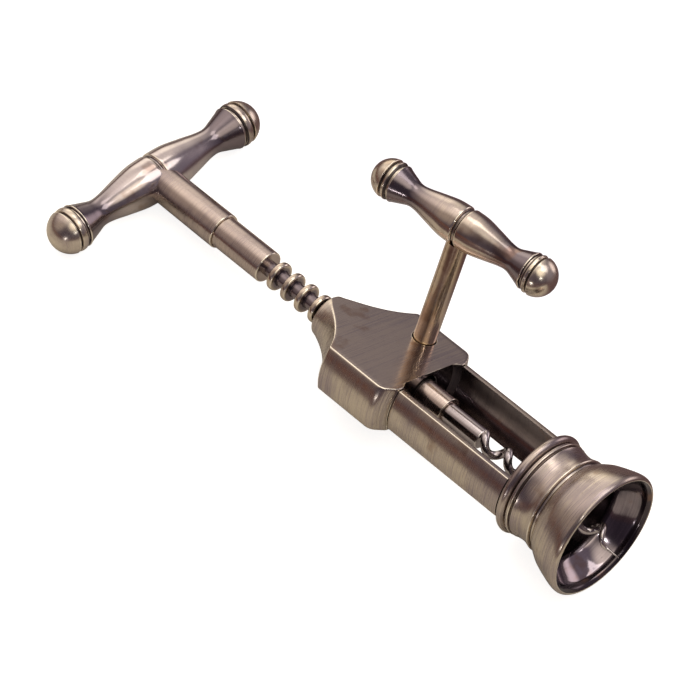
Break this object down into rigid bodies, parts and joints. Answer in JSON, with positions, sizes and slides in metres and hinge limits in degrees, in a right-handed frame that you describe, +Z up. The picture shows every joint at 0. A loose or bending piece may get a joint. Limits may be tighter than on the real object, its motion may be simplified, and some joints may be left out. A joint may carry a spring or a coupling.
{
  "type": "rack corkscrew",
  "caption": "Side-wind rack corkscrew: a crank drives a ringed rack and worm through an open frame with a bell mouth.",
  "frame": {"origin": "centre of the bounding box, at the surface the tool lies on", "axes": "+X along the spindle towards the bell mouth, +Z up with the tool lying on its bell and the balls of its main handle, +Y away from the viewer"},
  "size_m": [0.1894, 0.0762, 0.058],
  "materials": {
    "antique_bronze": "brushed antique bronze plate",
    "polished_bronze": "polished antique bronze plate",
    "gilt_bronze": "bright drawn bronze plate",
    "dark_steel": "dark plated steel"
  },
  "bodies": {
    "barrel": {"housing": "antique_bronze", "frame_wall_front": "antique_bronze", "frame_wall_back": "antique_bronze", "collar_bead": "antique_bronze", "bell_necking": "antique_bronze", "bell_bowl": "antique_bronze"},
    "crank": {"side_shaft": "gilt_bronze", "pinion": "dark_steel", "pinion_pin": "dark_steel", "foot_screw": "dark_steel", "side_bar": "polished_bronze", "side_ball_left": "polished_bronze", "side_ball_right": "polished_bronze"},
    "rack": {"rack_head": "antique_bronze", "rack_rings": "polished_bronze", "rack_sleeve": "gilt_bronze"},
    "screw": {"spindle_hub": "antique_bronze", "spindle_rod": "dark_steel", "worm": "dark_steel", "main_bar": "polished_bronze", "main_ball_left": "polished_bronze", "main_ball_right": "polished_bronze"}
  },
  "joints": [
    {"name": "crank_turn", "type": "hinge", "parent": "barrel", "child": "crank", "pos_m": [0.00845, 0.01039, 0.01041], "axis": [-0.0659, 0.3289, 0.9421], "range_deg": [-40, 340]},
    {"name": "rack_slide", "type": "slide", "parent": "barrel", "child": "rack", "axis": [0.9976, 0, 0.0698], "range_m": [-0.0048, 0.0414]},
    {"name": "screw_turn", "type": "hinge", "parent": "rack", "child": "screw", "pos_m": [0.0882, 0, 0.01962], "axis": [0.9976, 0, 0.0698], "continuous": true}
  ],
  "couplings": [
    {"joint": "crank_turn", "follows": "rack_slide", "rad_per_m": 143.19}
  ]
}
